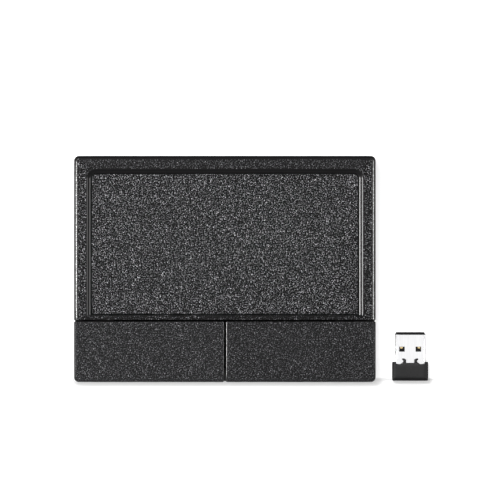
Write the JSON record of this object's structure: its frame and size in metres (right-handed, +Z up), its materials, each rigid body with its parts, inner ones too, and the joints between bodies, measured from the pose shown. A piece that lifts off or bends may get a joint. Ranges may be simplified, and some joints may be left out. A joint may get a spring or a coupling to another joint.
{
  "type": "wireless trackpad",
  "caption": "Wedge-shaped wireless trackpad with a sunken touch surface, wide click buttons along its front and a plug-in radio receiver beside it.",
  "frame": {"origin": "on the desk, under the middle of the pad", "axes": "+X to the user's right, +Y to the rear, +Z up"},
  "size_m": [0.1409, 0.09, 0.019],
  "materials": {
    "shell_plastic": "fine grained, black",
    "touch_plastic": "sparkling grain, dark grey",
    "case_plastic": "satin, black",
    "foot_rubber": "soft, dark grey",
    "circuit_board": "black solder mask",
    "chip_plastic": "moulded black",
    "connector_plastic": "ivory",
    "plunger_plastic": "brown",
    "cable_film": "white film",
    "adhesive_film": "pale tape",
    "plain_steel": "plated",
    "spring_steel": "nickel plated",
    "plug_steel": "bright",
    "contact_gold": "gold plated",
    "cell_can": "printed sleeve on a metal can",
    "red_lead": "red insulation",
    "black_lead": "black insulation"
  },
  "bodies": {
    "pad": {"top_frame": "shell_plastic", "touch_surface": "touch_plastic", "bottom_case": "case_plastic", "rubber_feet": "foot_rubber", "sensor_board": "circuit_board", "main_board": "circuit_board", "touch_controller": "chip_plastic", "radio_chip": "chip_plastic", "left_switch_base": "chip_plastic", "right_switch_base": "chip_plastic", "sensor_connector": "connector_plastic", "board_connector": "connector_plastic", "sensor_cable": "cable_film", "touch_adhesive": "adhesive_film", "crystal": "plain_steel", "left_switch_cover": "plain_steel", "right_switch_cover": "plain_steel", "power_switch_body": "plain_steel", "board_screws": "plain_steel", "case_screws": "plain_steel", "positive_contact": "spring_steel", "negative_contact": "spring_steel", "jumper_contact": "spring_steel", "front_cell": "cell_can", "rear_cell": "cell_can", "positive_lead": "red_lead", "negative_lead": "black_lead"},
    "left_button": {"left_button": "shell_plastic"},
    "right_button": {"right_button": "shell_plastic"},
    "left_plunger": {"left_switch_plunger": "plunger_plastic"},
    "right_plunger": {"right_switch_plunger": "plunger_plastic"},
    "power_knob": {"power_switch_knob": "case_plastic", "power_switch_lever": "connector_plastic"},
    "battery_door": {"battery_door": "case_plastic"},
    "receiver": {"receiver_housing": "case_plastic", "receiver_shell": "plug_steel", "receiver_tongue": "chip_plastic", "receiver_contacts": "contact_gold", "receiver_board": "circuit_board", "receiver_chip": "chip_plastic"}
  },
  "joints": [
    {"name": "left_button_press", "type": "hinge", "parent": "pad", "child": "left_button", "pos_m": [-0.03, -0.0182, 0.0088], "axis": [1, 0, 0], "range_deg": [0, 1.1], "stiffness_Nm_per_rad": 0.8, "springref_deg": -0.57},
    {"name": "right_button_press", "type": "hinge", "parent": "pad", "child": "right_button", "pos_m": [0.03, -0.0182, 0.0088], "axis": [1, 0, 0], "range_deg": [0, 1.1], "stiffness_Nm_per_rad": 0.8, "springref_deg": -0.57},
    {"name": "left_plunger_press", "type": "slide", "parent": "pad", "child": "left_plunger", "axis": [0, 0, -1], "range_m": [0, 0.0003]},
    {"name": "right_plunger_press", "type": "slide", "parent": "pad", "child": "right_plunger", "axis": [0, 0, -1], "range_m": [0, 0.0003]},
    {"name": "power_switch_slide", "type": "slide", "parent": "pad", "child": "power_knob", "axis": [1, 0, 0], "range_m": [0, 0.003]},
    {"name": "battery_door_slide", "type": "slide", "parent": "pad", "child": "battery_door", "axis": [0, 1, 0], "range_m": [0, 0.03]},
    {"name": "receiver_lift", "type": "slide", "parent": "pad", "child": "receiver", "axis": [0, 0, 1], "range_m": [0, 0.05]}
  ],
  "couplings": [
    {"joint": "left_plunger_press", "follows": "left_button_press", "m_per_rad": 0.0148},
    {"joint": "right_plunger_press", "follows": "right_button_press", "m_per_rad": 0.0148}
  ]
}
